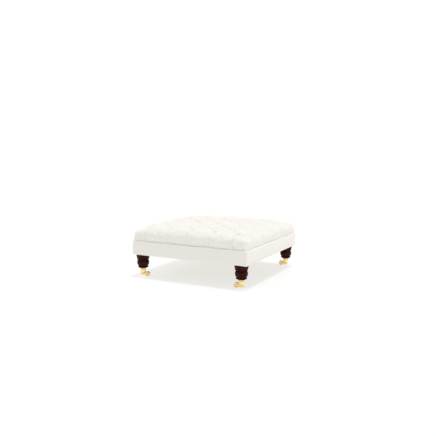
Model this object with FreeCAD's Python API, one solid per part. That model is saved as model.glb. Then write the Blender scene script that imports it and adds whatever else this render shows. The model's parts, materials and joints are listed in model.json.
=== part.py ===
"""A large square footstool with a diamond-buttoned top, on four turned legs with brass castors.

Sizes are in millimetres. The origin is on the floor under the middle, +Z is up and the front
faces -Y. Each sub-part is written to its own STEP file, and a sub-part that repeats and doesn't
move, such as the legs, is written as several solids in one file.
"""

import FreeCAD
import Part

import math
import os

V = FreeCAD.Vector

# Overall size, over the fabric of the rails
width = 1000.0
depth = 1000.0

# Castor wheel and its axle
wheel_radius = 20.5
wheel_width = 14.0
axle_radius = 3.0
axle_end = 1.0  # how far the riveted axle stands out of each cheek
wheel_bore_clearance = 0.08
axle_fit = 0.05

# Castor fork, a round hub with two cheeks that trail behind it
hub_radius = 18.0
hub_height = 22.5
hub_ground_clearance = 10.5
hub_to_wheel_gap = 1.2
cheek_thickness = 3.5
cheek_side_gap = 0.75
axle_boss_radius = 8.5
cheek_waist = 2.5  # how much the arms are drawn in between the hub and the axle
cheek_end_cut = 4.0  # corners cut off the cheeks behind the axle
cheek_root = 12.0  # where the cheeks start inside the hub

# Swivel pin, one piece with the cup and riveted under the hub
pin_radius = 4.0
pin_bore_clearance = 0.08
rivet_radius = 7.0
rivet_thickness = 2.5
rivet_clearance = 0.3

# Brass cup on the foot of each leg
cup_radius = 20.75
cup_wall = 2.5
cup_floor = 4.0
cup_height = 29.7
cup_rim_radius = 26.0
cup_rim_height = 5.4
cup_rim_flare = 1.8
spigot_clearance = 0.25

# Turned leg: radii and heights of its mouldings, from the cup to the rail
leg_inset_x = 67.0  # from the side face of the rails to the middle of the leg
leg_inset_y = 54.0  # from the front or back face of the rails to the middle of the leg
foot_radius = 27.0
foot_flare_radius = 35.5
foot_flare_height = 8.8
lower_bead_radius = 41.0
lower_bead_height = 11.5
lower_neck_radius = 36.8
bulb_radius = 47.3
bulb_belly_start = 13.0
bulb_belly_end = 35.0
bulb_height = 47.0
upper_neck_radius = 41.5
upper_cove_height = 7.0
upper_bead_radius = 48.6
upper_bead_height = 8.7
bead_edge_radius = 46.5
shoulder_height = 20.0
leg_top_radius = 53.5
leg_top_height = 14.5

# Bolt that holds each leg, with its head on the corner block
bolt_radius = 5.0
bolt_depth_in_leg = 36.0
bolt_hole_clearance = 0.1
bolt_block_clearance = 0.25
bolt_end_gap = 2.0
bolt_head_width = 17.0  # across the flats
bolt_head_height = 7.0
cover_slit = 12.0  # square hole in the dust cover for each bolt

# Timber frame of the seat
rail_height = 100.0
rail_thickness = 25.0
tenon_length = 12.0
tenon_thickness = 10.0
tenon_height = 60.0
tenon_clearance = 0.2
corner_block_side = 95.0
corner_block_height = 45.0
brace_width = 25.0
brace_height = 70.0

# Fabric and padding of the rails
fabric_thickness = 1.5
rail_padding_thickness = 6.5
rail_corner_cut = 6.0  # easing of the upright corners, along each face
top_lip = 34.0  # fabric turned in over the rails, under the cushion
bottom_flap = 45.0  # fabric turned in under the rails
dust_cover_thickness = 0.8
dust_cover_inset = 22.0

# Webbing and hessian that carry the cushion
strap_width = 50.0
strap_thickness = 1.2
strap_pitch = 92.0
strap_count = 10
strap_end_inset = 12.0
hessian_thickness = 0.6
hessian_inset = 10.0

# Cushion: foam core under a buttoned cover
cushion_inset = 6.0  # cushion side behind the rail side
foam_height = 79.5
foam_lip_gap = 4.0
cushion_edge_radius = 28.0  # of the upright corners and of the shoulder
cushion_seam_inset = 5.0  # how far the sides are drawn in at the seam
crown_clearance = 1.0  # of the outer form over the tops of the puffs
tuft_pitch = 190.5
tuft_rows = 5
tuft_depth_over_foam = 22.0  # button seats above the foam core
puff_radius = 384.0
edge_pleat_depth = 4.5
edge_pleat_half_width = 14.0
edge_pleat_radius = 20.0
edge_pleat_facets = 3  # flats of the bend over the edge
edge_pleat_drop = 4.0
edge_pleat_run = 60.0  # length of the fall from the button seat to the bend
pleat_cutter_margin = 0.5  # how far the cutters start outside the cushion
button_radius = 12.5
button_crown_radius = 7.5
button_dome = 3.8
button_facets = 10
button_seat_gap = 0.05

# Heights from the floor, stacked from the pieces
axle_z = wheel_radius
hub_top = hub_ground_clearance + hub_height
cup_base = hub_top
cup_top = cup_base + cup_height
leg_length = (
    foot_flare_height
    + lower_bead_height
    + bulb_height
    + upper_cove_height
    + upper_bead_height
    + shoulder_height
    + leg_top_height
)
leg_top = cup_top + leg_length
flap_base = leg_top + dust_cover_thickness
rail_base = flap_base + fabric_thickness
rail_top = rail_base + rail_height
hessian_base = rail_top + 2.0 * strap_thickness
hessian_top = hessian_base + hessian_thickness
lip_top = hessian_top + fabric_thickness
foam_top = hessian_top + foam_height
tuft_z = foam_top + tuft_depth_over_foam

# Half sizes in plan, from the outside in
cover_x = width / 2.0
cover_y = depth / 2.0
padding_x = cover_x - fabric_thickness
padding_y = cover_y - fabric_thickness
rail_x = padding_x - rail_padding_thickness
rail_y = padding_y - rail_padding_thickness
inner_x = rail_x - rail_thickness
inner_y = rail_y - rail_thickness
cushion_x = cover_x - cushion_inset
cushion_y = cover_y - cushion_inset
lip_x = cover_x - top_lip
lip_y = cover_y - top_lip
foam_x = lip_x - foam_lip_gap
foam_y = lip_y - foam_lip_gap

# Leg axes
leg_x = cover_x - leg_inset_x
leg_y = cover_y - leg_inset_y
corners = [(-1, -1), (1, -1), (-1, 1), (1, 1)]

# Castor trail from the swivel pin to the axle
trail = hub_radius + hub_to_wheel_gap + wheel_radius
cheek_inner = wheel_width / 2.0 + cheek_side_gap
cheek_outer = cheek_inner + cheek_thickness

os.makedirs("parts", exist_ok=True)


def save(name, *shapes):
    """Write one sub-part, of one solid or several."""
    shape = shapes[0] if len(shapes) == 1 else Part.makeCompound(list(shapes))
    shape.exportStep("parts/" + name + ".step")
    solids = shape.Solids
    volume = sum(solid.Volume for solid in solids)
    print(name, len(solids), "solids", round(volume / 1000.0, 2), "cm3", shape.isValid())


def block(x0, x1, y0, y1, z0, z1):
    """Box between two corners."""
    return Part.makeBox(x1 - x0, y1 - y0, z1 - z0, V(x0, y0, z0))


def slab(half_x, half_y, z0, z1):
    """Box centred on the vertical axis."""
    return block(-half_x, half_x, -half_y, half_y, z0, z1)


def rod(radius, z0, z1, x=0.0, y=0.0):
    """Upright cylinder between two heights."""
    return Part.makeCylinder(radius, z1 - z0, V(x, y, z0))


def section(start, *steps):
    """Closed face in the XZ plane. A step of one point is a line, a step of two points is an arc."""
    here = V(start[0], 0, start[1])
    edges = []
    for step in steps:
        if isinstance(step[0], tuple):
            middle = V(step[0][0], 0, step[0][1])
            there = V(step[1][0], 0, step[1][1])
            edges.append(Part.Arc(here, middle, there).toShape())
        else:
            there = V(step[0], 0, step[1])
            edges.append(Part.makeLine(here, there))
        here = there
    edges.append(Part.makeLine(here, V(start[0], 0, start[1])))
    return Part.Face(Part.Wire(edges))


def turned(start, *steps):
    """Solid turned about the vertical axis from a section."""
    return section(start, *steps).revolve(V(0, 0, 0), V(0, 0, 1), 360)


def facet_prism(sides, foot_radius, crown_radius, z, height):
    """Upright prism with flat sides, drawn in from the foot to the crown."""
    rings = []
    for radius, level in ((foot_radius, z), (crown_radius, z + height)):
        turns = [2.0 * math.pi * index / sides for index in range(sides)]
        rings.append([V(radius * math.cos(turn), radius * math.sin(turn), level) for turn in turns])
    foot, crown = rings
    outlines = [foot, crown]
    for index in range(sides):
        after = (index + 1) % sides
        outlines.append([foot[index], foot[after], crown[after], crown[index]])
    faces = [Part.Face(Part.makePolygon(points + [points[0]])) for points in outlines]
    return Part.makeSolid(Part.makeShell(faces))


def at_corner(shape, corner):
    """Copy of a shape moved from the axis to one leg."""
    copy = shape.copy()
    copy.translate(V(corner[0] * leg_x, corner[1] * leg_y, 0))
    return copy


def upright_edges(shape):
    """Edges of a shape that run along the vertical axis."""
    return [
        edge
        for edge in shape.Edges
        if abs(edge.Vertexes[0].Point.x - edge.Vertexes[-1].Point.x) < 1e-6
        and abs(edge.Vertexes[0].Point.y - edge.Vertexes[-1].Point.y) < 1e-6
    ]


def level_edges(shape, z):
    """Edges of a shape that lie at one height."""
    return [
        edge
        for edge in shape.Edges
        if all(abs(vertex.Point.z - z) < 1e-6 for vertex in edge.Vertexes)
        and abs(edge.CenterOfMass.z - z) < 1e-6
    ]


def eased_box(half_x, half_y, z0, z1, corner_cut, edge_cut):
    """Box with its upright corners cut off, and its level edges too."""
    box = slab(half_x, half_y, z0, z1)
    box = box.makeChamfer(corner_cut, upright_edges(box))
    for level in (z0, z1):
        box = box.makeChamfer(edge_cut, level_edges(box, level))
    return box


# Castor wheel: a solid brass disc
half_wheel = wheel_width / 2.0
wheel_bore = axle_radius + wheel_bore_clearance
axle_line = V(0, 1, 0)
wheel = Part.makeCylinder(wheel_radius, wheel_width, V(trail, -half_wheel, axle_z), axle_line)
wheel = wheel.cut(
    Part.makeCylinder(wheel_bore, wheel_width, V(trail, -half_wheel, axle_z), axle_line)
)

# Castor axle, riveted through both cheeks
axle_half = cheek_outer + axle_end
axle = Part.makeCylinder(axle_radius, 2.0 * axle_half, V(trail, -axle_half, axle_z), axle_line)

# Castor fork: a round hub and two cheeks that carry the axle
pin_bore = pin_radius + pin_bore_clearance
fork = rod(hub_radius, hub_ground_clearance, hub_top)
arm_middle = (hub_radius + trail) / 2.0
arm_top = axle_z + axle_boss_radius
arm_foot = axle_z - axle_boss_radius
arm_end = trail + axle_boss_radius
cheek_face = section(
    (cheek_root, arm_foot),
    (arm_middle, arm_foot + cheek_waist),
    (trail - cheek_end_cut, arm_foot),
    (arm_end - cheek_end_cut, arm_foot),
    (arm_end, arm_foot + cheek_end_cut),
    (arm_end, arm_top - cheek_end_cut),
    (arm_end - cheek_end_cut, arm_top),
    (trail - cheek_end_cut, arm_top),
    (arm_middle, arm_top - cheek_waist),
    (cheek_root, arm_top),
)
for near in (cheek_inner, -cheek_outer):
    cheek = cheek_face.extrude(V(0, cheek_thickness, 0))
    cheek.translate(V(0, near, 0))
    fork = fork.fuse(cheek)
fork = fork.removeSplitter()
fork = fork.cut(rod(pin_bore, hub_ground_clearance - 1.0, hub_top + 1.0))
fork = fork.cut(
    Part.makeCylinder(
        axle_radius + axle_fit, 2.0 * axle_half, V(trail, -axle_half, axle_z), axle_line
    )
)

# Cup of the castor, turned in one piece with the swivel pin
cup_inside = cup_base + cup_floor
cup_inner = cup_radius - cup_wall
rivet_top = hub_ground_clearance - rivet_clearance
cup = turned(
    (0, rivet_top - rivet_thickness),
    (rivet_radius, rivet_top - rivet_thickness),
    (rivet_radius, rivet_top),
    (pin_radius, rivet_top),
    (pin_radius, cup_base),
    (cup_radius, cup_base),
    (cup_radius, cup_top - cup_rim_height - cup_rim_flare),
    (cup_rim_radius, cup_top - cup_rim_height),
    (cup_rim_radius, cup_top),
    (cup_inner, cup_top),
    (cup_inner, cup_inside),
    (0, cup_inside),
)

# Turned leg, with a spigot that drops into the cup and a blind hole for its bolt
spigot_radius = cup_inner - spigot_clearance
flare_top = cup_top + foot_flare_height
bead_top = flare_top + lower_bead_height
bulb_top = bead_top + bulb_height
cove_top = bulb_top + upper_cove_height
upper_bead_top = cove_top + upper_bead_height
shoulder_top = upper_bead_top + shoulder_height
leg = turned(
    (0, cup_inside),
    (spigot_radius, cup_inside),
    (spigot_radius, cup_top),
    (foot_radius, cup_top),
    (foot_flare_radius, flare_top),
    (lower_bead_radius, (flare_top + bead_top) / 2.0),
    (lower_neck_radius, bead_top),
    (bulb_radius, bead_top + bulb_belly_start),
    (bulb_radius, bead_top + bulb_belly_end),
    (upper_neck_radius, bulb_top),
    (bead_edge_radius, cove_top),
    (upper_bead_radius, (cove_top + upper_bead_top) / 2.0),
    (bead_edge_radius, upper_bead_top),
    (leg_top_radius, shoulder_top),
    (leg_top_radius, leg_top),
    (0, leg_top),
)
bolt_hole_base = leg_top - bolt_depth_in_leg - bolt_end_gap
leg = leg.cut(rod(bolt_radius + bolt_hole_clearance, bolt_hole_base, leg_top + 1.0))

# Bolt of a leg, driven from above through the corner block
block_top = rail_base + corner_block_height
bolt = rod(bolt_radius, leg_top - bolt_depth_in_leg, block_top)
head_corner = bolt_head_width / math.sqrt(3.0)
bolt = bolt.fuse(facet_prism(6, head_corner, head_corner, block_top, bolt_head_height))

save("legs", *[at_corner(leg, corner) for corner in corners])
save("castor_cups", *[at_corner(cup, corner) for corner in corners])
save("leg_bolts", *[at_corner(bolt, corner) for corner in corners])

# Castors at rest: the wheels trail inwards under the stool
corner_names = ["front_left", "front_right", "back_left", "back_right"]
for corner, corner_name in zip(corners, corner_names):
    for part_name, shape in (("fork", fork), ("axle", axle), ("wheel", wheel)):
        copy = shape.copy()
        if corner[0] > 0:
            copy.rotate(V(0, 0, 0), V(0, 0, 1), 180)
        save("castor_" + part_name + "_" + corner_name, at_corner(copy, corner))

# Front and back rails, full length, with mortises for the side rails
tenon_z = rail_base + (rail_height - tenon_height) / 2.0
tenon_x = rail_x - (rail_thickness - tenon_thickness) / 2.0
mortise = tenon_clearance
for side, rail_name in ((-1, "rail_front"), (1, "rail_back")):
    y_near = min(side * inner_y, side * rail_y)
    y_far = max(side * inner_y, side * rail_y)
    rail = block(-rail_x, rail_x, y_near, y_far, rail_base, rail_top)
    for end in (-1, 1):
        x_near = min(end * tenon_x, end * (tenon_x - tenon_thickness)) - mortise
        x_far = max(end * tenon_x, end * (tenon_x - tenon_thickness)) + mortise
        y_end = side * (inner_y + tenon_length + mortise)
        rail = rail.cut(
            block(
                x_near,
                x_far,
                min(side * inner_y, y_end),
                max(side * inner_y, y_end),
                tenon_z - mortise,
                tenon_z + tenon_height + mortise,
            )
        )
    save(rail_name, rail)

# Side rails between them, with a stub tenon at each end
for side, rail_name in ((-1, "rail_left"), (1, "rail_right")):
    x_near = min(side * inner_x, side * rail_x)
    x_far = max(side * inner_x, side * rail_x)
    rail = block(x_near, x_far, -inner_y, inner_y, rail_base, rail_top)
    x_near = min(side * tenon_x, side * (tenon_x - tenon_thickness))
    x_far = max(side * tenon_x, side * (tenon_x - tenon_thickness))
    tenon_end = inner_y + tenon_length
    rail = rail.fuse(
        block(x_near, x_far, -tenon_end, tenon_end, tenon_z, tenon_z + tenon_height)
    )
    save(rail_name, rail.removeSplitter())

# Corner blocks in the angles of the rails, bored for the leg bolts
for corner, corner_name in zip(corners, corner_names):
    angle_x = corner[0] * inner_x
    angle_y = corner[1] * inner_y
    triangle = Part.makePolygon(
        [
            V(angle_x, angle_y, rail_base),
            V(angle_x - corner[0] * corner_block_side, angle_y, rail_base),
            V(angle_x, angle_y - corner[1] * corner_block_side, rail_base),
            V(angle_x, angle_y, rail_base),
        ]
    )
    corner_block = Part.Face(triangle).extrude(V(0, 0, corner_block_height))
    hole = rod(bolt_radius + bolt_block_clearance, rail_base - 1.0, block_top + 1.0)
    corner_block = corner_block.cut(at_corner(hole, corner))
    save("corner_block_" + corner_name, corner_block)

# Brace across the middle of the frame, from the front rail to the back rail
save(
    "centre_brace",
    block(-brace_width / 2.0, brace_width / 2.0, -inner_y, inner_y, rail_base, rail_base + brace_height),
)

# Webbing straps, tacked on the rails, one layer each way
strap_places = [(index - (strap_count - 1) / 2.0) * strap_pitch for index in range(strap_count)]
strap_end_x = rail_x - strap_end_inset
strap_end_y = rail_y - strap_end_inset
strap_half = strap_width / 2.0
strap_middle = rail_top + strap_thickness
save(
    "webbing_lengthways",
    *[
        block(-strap_end_x, strap_end_x, y - strap_half, y + strap_half, rail_top, strap_middle)
        for y in strap_places
    ],
)
save(
    "webbing_crossways",
    *[
        block(x - strap_half, x + strap_half, -strap_end_y, strap_end_y, strap_middle, hessian_base)
        for x in strap_places
    ],
)

# Hessian over the webbing, and the foam core on it
save("hessian", slab(rail_x - hessian_inset, rail_y - hessian_inset, hessian_base, hessian_top))
foam = slab(foam_x, foam_y, hessian_top, foam_top)
save("foam_core", foam)

# Padding wrapped round the rails, and the fabric over it, turned in at the top and the bottom
outer_edge = rail_padding_thickness + fabric_thickness
padding_corner_cut = rail_corner_cut - fabric_thickness * (2.0 - math.sqrt(2.0))
cover_form = eased_box(cover_x, cover_y, flap_base, lip_top, rail_corner_cut, outer_edge)
padding_form = eased_box(
    padding_x, padding_y, rail_base, hessian_top, padding_corner_cut, rail_padding_thickness
)
rails_form = slab(rail_x, rail_y, rail_base, rail_top)
rail_cover = cover_form.cut(padding_form).cut(rails_form)
rail_cover = rail_cover.cut(
    slab(cover_x - bottom_flap, cover_y - bottom_flap, flap_base - 1.0, rail_base + 1.0)
)
rail_cover = rail_cover.cut(slab(lip_x, lip_y, hessian_top - 1.0, lip_top + 1.0))
save("rail_cover", rail_cover)
save("rail_padding", padding_form.cut(slab(rail_x, rail_y, rail_base - 1.0, hessian_top + 1.0)))

# Dust cover under the frame, pierced by the leg bolts
dust_cover = slab(cover_x - dust_cover_inset, cover_y - dust_cover_inset, leg_top, flap_base)
for corner in corners:
    hole = slab(cover_slit / 2.0, cover_slit / 2.0, leg_top - 1.0, flap_base + 1.0)
    dust_cover = dust_cover.cut(at_corner(hole, corner))
save("dust_cover", dust_cover)

# Buttoned cover. A puff is a patch of a ball, and equal balls stand half a pitch apart each way,
# so they meet in upright planes along the diagonal pleats, and four of them meet at each button.
half_pitch = tuft_pitch / 2.0
half_field = half_pitch * (tuft_rows - 1)
puff_rise = puff_radius - math.sqrt(puff_radius**2 - half_pitch**2)
puff_top = tuft_z + puff_rise
ball_z = puff_top - puff_radius
envelope_top = puff_top + crown_clearance
low = lip_top - cushion_edge_radius
ball = Part.makeSphere(puff_radius, V(0, 0, ball_z), V(1, 1, 0))


def cell(points):
    """Upright prism on a plan polygon, topped by the ball over the origin."""
    outline = [V(x, y, low) for x, y in points]
    outline.append(outline[0])
    prism = Part.Face(Part.makePolygon(outline)).extrude(V(0, 0, envelope_top - low))
    return prism.common(ball)


# Whole diamonds inside the button field, and half diamonds at its rim
diamond = cell([(-half_pitch, 0), (0, -half_pitch), (half_pitch, 0), (0, half_pitch)])
half_diamond = cell([(-half_pitch, 0), (half_pitch, 0), (0, half_pitch)])
field = [(index * tuft_pitch) - half_field for index in range(tuft_rows)]
gaps = [place + half_pitch for place in field[:-1]]
pieces = []
for gap in gaps:
    for place in field[1:-1]:
        for x, y in ((gap, place), (place, gap)):
            copy = diamond.copy()
            copy.translate(V(x, y, 0))
            pieces.append(copy)

# Border puffs: the same arc carried straight outwards, past the edge of the cushion
border_face = section(
    (-half_pitch, low),
    (half_pitch, low),
    (half_pitch, tuft_z),
    ((0, puff_top), (-half_pitch, tuft_z)),
)
reach = max(cover_x, cover_y) - half_field
border_puff = border_face.extrude(V(0, -reach, 0))
for quarter in range(4):
    side_pieces = []
    for gap in gaps:
        for shape in (half_diamond, border_puff):
            copy = shape.copy()
            copy.translate(V(gap, -half_field, 0))
            side_pieces.append(copy)
    first = border_puff.copy()
    second = border_puff.copy()
    second.rotate(V(0, 0, 0), V(0, 0, 1), 90)
    first.translate(V(half_field + half_pitch, -half_field, 0))
    second.translate(V(half_field, -half_field - half_pitch, 0))
    side_pieces.append(first.common(second))
    for shape in side_pieces:
        shape.rotate(V(0, 0, 0), V(0, 0, 1), 90 * quarter)
        pieces.append(shape)
cushion = pieces[0].multiFuse(pieces[1:])
cushion = cushion.removeSplitter()

# The cushion's outer form: round corners and shoulder, and sides drawn in at the seam
envelope = slab(cushion_x, cushion_y, lip_top, envelope_top)
round_edges = upright_edges(envelope) + level_edges(envelope, envelope_top)
envelope = envelope.makeFillet(cushion_edge_radius, round_edges)
envelope = envelope.makeChamfer(cushion_seam_inset, level_edges(envelope, lip_top))
cushion = cushion.common(envelope)

# Straight pleats from the outer buttons over the edge and down to the seam
shoulder_z = envelope_top - cushion_edge_radius
cutter_reach = 30.0


def pleat_wire(along, edge, first_z, centre_y, centre_z, radius):
    """Closed wire of a pleat cutter: the line in the fabric, and a way round outside it."""
    start = edge - edge_pleat_depth - edge_pleat_radius - edge_pleat_run
    foot_z = lip_top - cutter_reach
    high = puff_top + cutter_reach
    points = [V(along, start, first_z)]
    for index in range(edge_pleat_facets + 1):
        turn = math.pi / 2.0 * index / edge_pleat_facets
        points.append(
            V(along, centre_y + radius * math.sin(turn), centre_z + radius * math.cos(turn))
        )
    points.append(V(along, centre_y + radius, foot_z))
    points.append(V(along, edge + cutter_reach, foot_z))
    points.append(V(along, edge + cutter_reach, high))
    points.append(V(along, start, high))
    return Part.makePolygon(points + [points[0]])


def pleat_cutter(edge):
    """Groove cutter for a pleat at the middle of a side, where the side stands at y = edge."""
    facet_rise = 1.0 / math.cos(math.pi / 4.0 / edge_pleat_facets)
    outside = (cushion_edge_radius + pleat_cutter_margin) * facet_rise
    side_y = edge - cushion_edge_radius
    pleat_y = edge - edge_pleat_depth - edge_pleat_radius
    pleat_z = tuft_z - edge_pleat_drop - edge_pleat_radius
    seat_z = tuft_z + pleat_cutter_margin
    side_z = shoulder_z + outside
    wires = [
        pleat_wire(-edge_pleat_half_width, edge, side_z, side_y, shoulder_z, outside),
        pleat_wire(0.0, edge, seat_z, pleat_y, pleat_z, edge_pleat_radius),
        pleat_wire(edge_pleat_half_width, edge, side_z, side_y, shoulder_z, outside),
    ]
    return Part.makeLoft(wires, True, True)


cutters = []
for edge, quarter in ((cushion_y, 0), (cushion_x, 90), (cushion_y, 180), (cushion_x, 270)):
    cutter = pleat_cutter(edge)
    for place in field:
        copy = cutter.copy()
        copy.translate(V(place, 0, 0))
        copy.rotate(V(0, 0, 0), V(0, 0, 1), quarter)
        cutters.append(copy)
cushion = cushion.cut(cutters)
cushion = cushion.cut(foam)
save("top_cover", cushion)

# Covered buttons, one at each crossing of the pleats
seat_drop = math.sqrt(puff_radius**2 - (half_pitch - button_radius) ** 2)
button_z = ball_z + seat_drop + button_seat_gap
button = facet_prism(button_facets, button_radius, button_crown_radius, button_z, button_dome)
places = [(x, y) for x in field for y in field] + [(x, y) for x in gaps for y in gaps]
buttons = []
for x, y in places:
    copy = button.copy()
    copy.translate(V(x, y, 0))
    buttons.append(copy)
save("buttons", *buttons)
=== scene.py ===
"""A large square footstool: a diamond-buttoned ivory cushion on a plain upholstered rail, with four
turned mahogany legs on brass castors. Lengths are in metres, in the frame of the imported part.
"""

import json
import math

import bmesh
import bpy
import numpy as np
from mathutils import Matrix, Vector


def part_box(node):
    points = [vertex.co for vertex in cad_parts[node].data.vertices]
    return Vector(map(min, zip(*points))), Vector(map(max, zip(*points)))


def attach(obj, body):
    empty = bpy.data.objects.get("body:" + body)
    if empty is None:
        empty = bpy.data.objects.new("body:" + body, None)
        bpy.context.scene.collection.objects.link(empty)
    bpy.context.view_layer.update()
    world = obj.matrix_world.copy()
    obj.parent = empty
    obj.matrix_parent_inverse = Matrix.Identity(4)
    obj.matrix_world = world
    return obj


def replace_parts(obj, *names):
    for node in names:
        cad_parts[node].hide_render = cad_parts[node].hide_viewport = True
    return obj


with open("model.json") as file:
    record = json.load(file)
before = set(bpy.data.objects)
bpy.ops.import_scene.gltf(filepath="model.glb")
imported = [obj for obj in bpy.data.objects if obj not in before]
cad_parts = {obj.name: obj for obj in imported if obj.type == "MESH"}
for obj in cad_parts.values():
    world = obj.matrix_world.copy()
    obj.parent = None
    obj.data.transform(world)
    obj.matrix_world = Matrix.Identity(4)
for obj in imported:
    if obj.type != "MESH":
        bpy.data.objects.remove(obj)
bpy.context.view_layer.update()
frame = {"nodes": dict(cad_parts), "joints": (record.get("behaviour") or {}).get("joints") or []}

# The picture: a camera one metre up, out from the near corner, in a white room with a dim ceiling.
# The key light is almost overhead, a weak fill comes from the upper left, and a soft box stands on
# the right.
scene = bpy.context.scene
scene.view_settings.view_transform = "Standard"
camera_place = Vector((2.1264, -4.0230, 1.0261))
camera_aim = Vector((-0.46252, 0.87733, -0.12790))
camera_data = bpy.data.cameras.new("camera")
camera_data.sensor_width = 36.0
camera_data.lens = 45.99
camera = bpy.data.objects.new("camera", camera_data)
camera.location = camera_place
camera.rotation_euler = camera_aim.to_track_quat("-Z", "Y").to_euler()
scene.collection.objects.link(camera)
scene.camera = camera

room = bpy.data.worlds.new("white_room")
room.use_nodes = True
room_nodes = room.node_tree.nodes
room_light = room_nodes["Background"]
room_light.inputs["Strength"].default_value = 1.25
room_direction = room_nodes.new("ShaderNodeTexCoord")
room_height = room_nodes.new("ShaderNodeSeparateXYZ")
room_shade = room_nodes.new("ShaderNodeValToRGB")
room_shade.color_ramp.elements[0].position = 0.3
room_shade.color_ramp.elements[0].color = (1.0, 1.0, 1.0, 1.0)
room_shade.color_ramp.elements[1].position = 0.8
room_shade.color_ramp.elements[1].color = (0.25, 0.25, 0.25, 1.0)
room.node_tree.links.new(room_direction.outputs["Generated"], room_height.inputs[0])
room.node_tree.links.new(room_height.outputs[2], room_shade.inputs["Fac"])
room.node_tree.links.new(room_shade.outputs["Color"], room_light.inputs["Color"])
scene.world = room


def lamp(name, kind, place, travel, energy):
    """A light at a place, whose rays travel in one direction."""
    light = bpy.data.lights.new(name, kind)
    light.energy = energy
    holder = bpy.data.objects.new(name, light)
    holder.location = place
    holder.rotation_euler = Vector(travel).to_track_quat("-Z", "Y").to_euler()
    scene.collection.objects.link(holder)
    return light


key_light = lamp("key_light", "SUN", (0.25, 0.25, 3.0), (-0.08, -0.08, -1.0), 1.65)
key_light.angle = math.radians(9.0)
fill_light = lamp("fill_light", "SUN", (-2.0, 0.0, 2.0), (1.2, 0.0, -1.0), 0.35)
fill_light.angle = math.radians(20.0)
side_box = lamp("side_box", "AREA", (3.4, 0.2, 0.5), (-1.0, 0.0, 0.0), 9.0)
side_box.shape = "RECTANGLE"
side_box.size = 2.6
side_box.size_y = 0.8


class Signal:
    """A shader socket. Arithmetic on it adds the Math nodes that work it out."""

    def __init__(self, finish, socket):
        self.finish = finish
        self.socket = socket

    def math(self, operation, first, second=0.0):
        return self.finish.node("ShaderNodeMath", {"operation": operation}, {0: first, 1: second})

    def __add__(self, other):
        return self.math("ADD", self, other)

    def __radd__(self, other):
        return self.math("ADD", other, self)

    def __sub__(self, other):
        return self.math("SUBTRACT", self, other)

    def __rsub__(self, other):
        return self.math("SUBTRACT", other, self)

    def __mul__(self, other):
        return self.math("MULTIPLY", self, other)

    def __rmul__(self, other):
        return self.math("MULTIPLY", other, self)

    def sine(self):
        return self.math("SINE", self)


class Finish:
    """A material that is built node by node round one Principled shader."""

    def __init__(self, name, **constants):
        self.material = bpy.data.materials.new(name)
        self.material.use_nodes = True
        self.tree = self.material.node_tree
        self.shader = self.tree.nodes["Principled BSDF"]
        for socket_name, value in constants.items():
            self.shader.inputs[socket_name.replace("_", " ")].default_value = value

    def node(self, kind, settings, sockets, output=0):
        """Any node: its settings are set first, then the values or links of its sockets."""
        added = self.tree.nodes.new(kind)
        for key, value in settings.items():
            if key == "stops":
                ramp = added.color_ramp.elements
                while len(ramp) < len(value):
                    ramp.new(0.5)
                for element, (position, colour) in zip(ramp, value):
                    element.position = position
                    element.color = (*colour, 1.0)
            else:
                setattr(added, key, value)
        for key, value in sockets.items():
            if isinstance(value, Signal):
                self.tree.links.new(value.socket, added.inputs[key])
            else:
                added.inputs[key].default_value = value
        return Signal(self, added.outputs[output])

    def place(self, scale=(1.0, 1.0, 1.0), source="Object"):
        """Coordinates on the object or its UV map, stretched."""
        if source == "UV":
            point = self.node("ShaderNodeUVMap", {}, {})
        else:
            point = self.node("ShaderNodeTexCoord", {}, {}, source)
        return self.node("ShaderNodeMapping", {}, {"Vector": point, "Scale": scale})

    def noise(self, where, scale, detail=2.0, roughness=0.5):
        sockets = {"Vector": where, "Scale": scale, "Detail": detail, "Roughness": roughness}
        return self.node("ShaderNodeTexNoise", {}, sockets)

    def weave(self, where):
        """Warp and weft of a plain weave, as waves along the first two coordinates."""
        return [self.node("ShaderNodeSeparateXYZ", {}, {0: where}, axis).sine() for axis in (0, 1)]

    def set(self, **signals):
        for socket_name, signal in signals.items():
            self.tree.links.new(signal.socket, self.shader.inputs[socket_name.replace("_", " ")])

    def tint(self, factor, *stops):
        """Colours the surface through the stops of a ramp, as a factor goes from 0 to 1."""
        self.set(Base_Color=self.node("ShaderNodeValToRGB", {"stops": stops}, {"Fac": factor}))

    def relief(self, height, strength, distance):
        sockets = {"Height": height, "Strength": strength, "Distance": distance}
        self.set(Normal=self.node("ShaderNodeBump", {}, sockets))


# The floor is a white acrylic sweep, lit from under as for a catalogue picture, so that the shadow
# of the footstool stays pale.
floor_reach = 9.0
floor_finish = Finish(
    "white_acrylic",
    Base_Color=(0.24, 0.25, 0.30, 1.0),
    Roughness=0.9,
    Specular_IOR_Level=0.1,
    Emission_Color=(1.0, 0.985, 0.905, 1.0),
    Emission_Strength=0.735,
)
floor_form = bmesh.new()
bmesh.ops.create_grid(floor_form, x_segments=2, y_segments=2, size=floor_reach)
floor_mesh = bpy.data.meshes.new("floor")
floor_form.to_mesh(floor_mesh)
floor_form.free()
floor = bpy.data.objects.new("floor", floor_mesh)
floor_mesh.materials.append(floor_finish.material)
scene.collection.objects.link(floor)

# Timber frame: planed beech rails, stub tenoned at the corners, a centre brace and four glued
# corner blocks. All of it is hidden by the upholstery, and stays as the part has it.
MM = 0.001
corner_names = ["front_left", "front_right", "back_left", "back_right"]
timber = Finish("beech", Roughness=0.62, Specular_IOR_Level=0.3)
timber_grain = timber.noise(timber.place((6.0, 60.0, 60.0)), 4.0, 5.0)
timber_pores = timber.noise(timber.place((90.0, 900.0, 900.0)), 1.0, 1.0)
timber.tint(timber_grain, (0.3, (0.47, 0.29, 0.15)), (0.7, (0.66, 0.46, 0.27)))
timber.relief(timber_pores * 0.4 + timber_grain, 0.3, 0.4 * MM)


def dress_node(name, finish):
    """Gives a node of the part, whose shape is right, its finish."""
    node = frame["nodes"][name]
    node.data.materials.clear()
    node.data.materials.append(finish.material)


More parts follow.
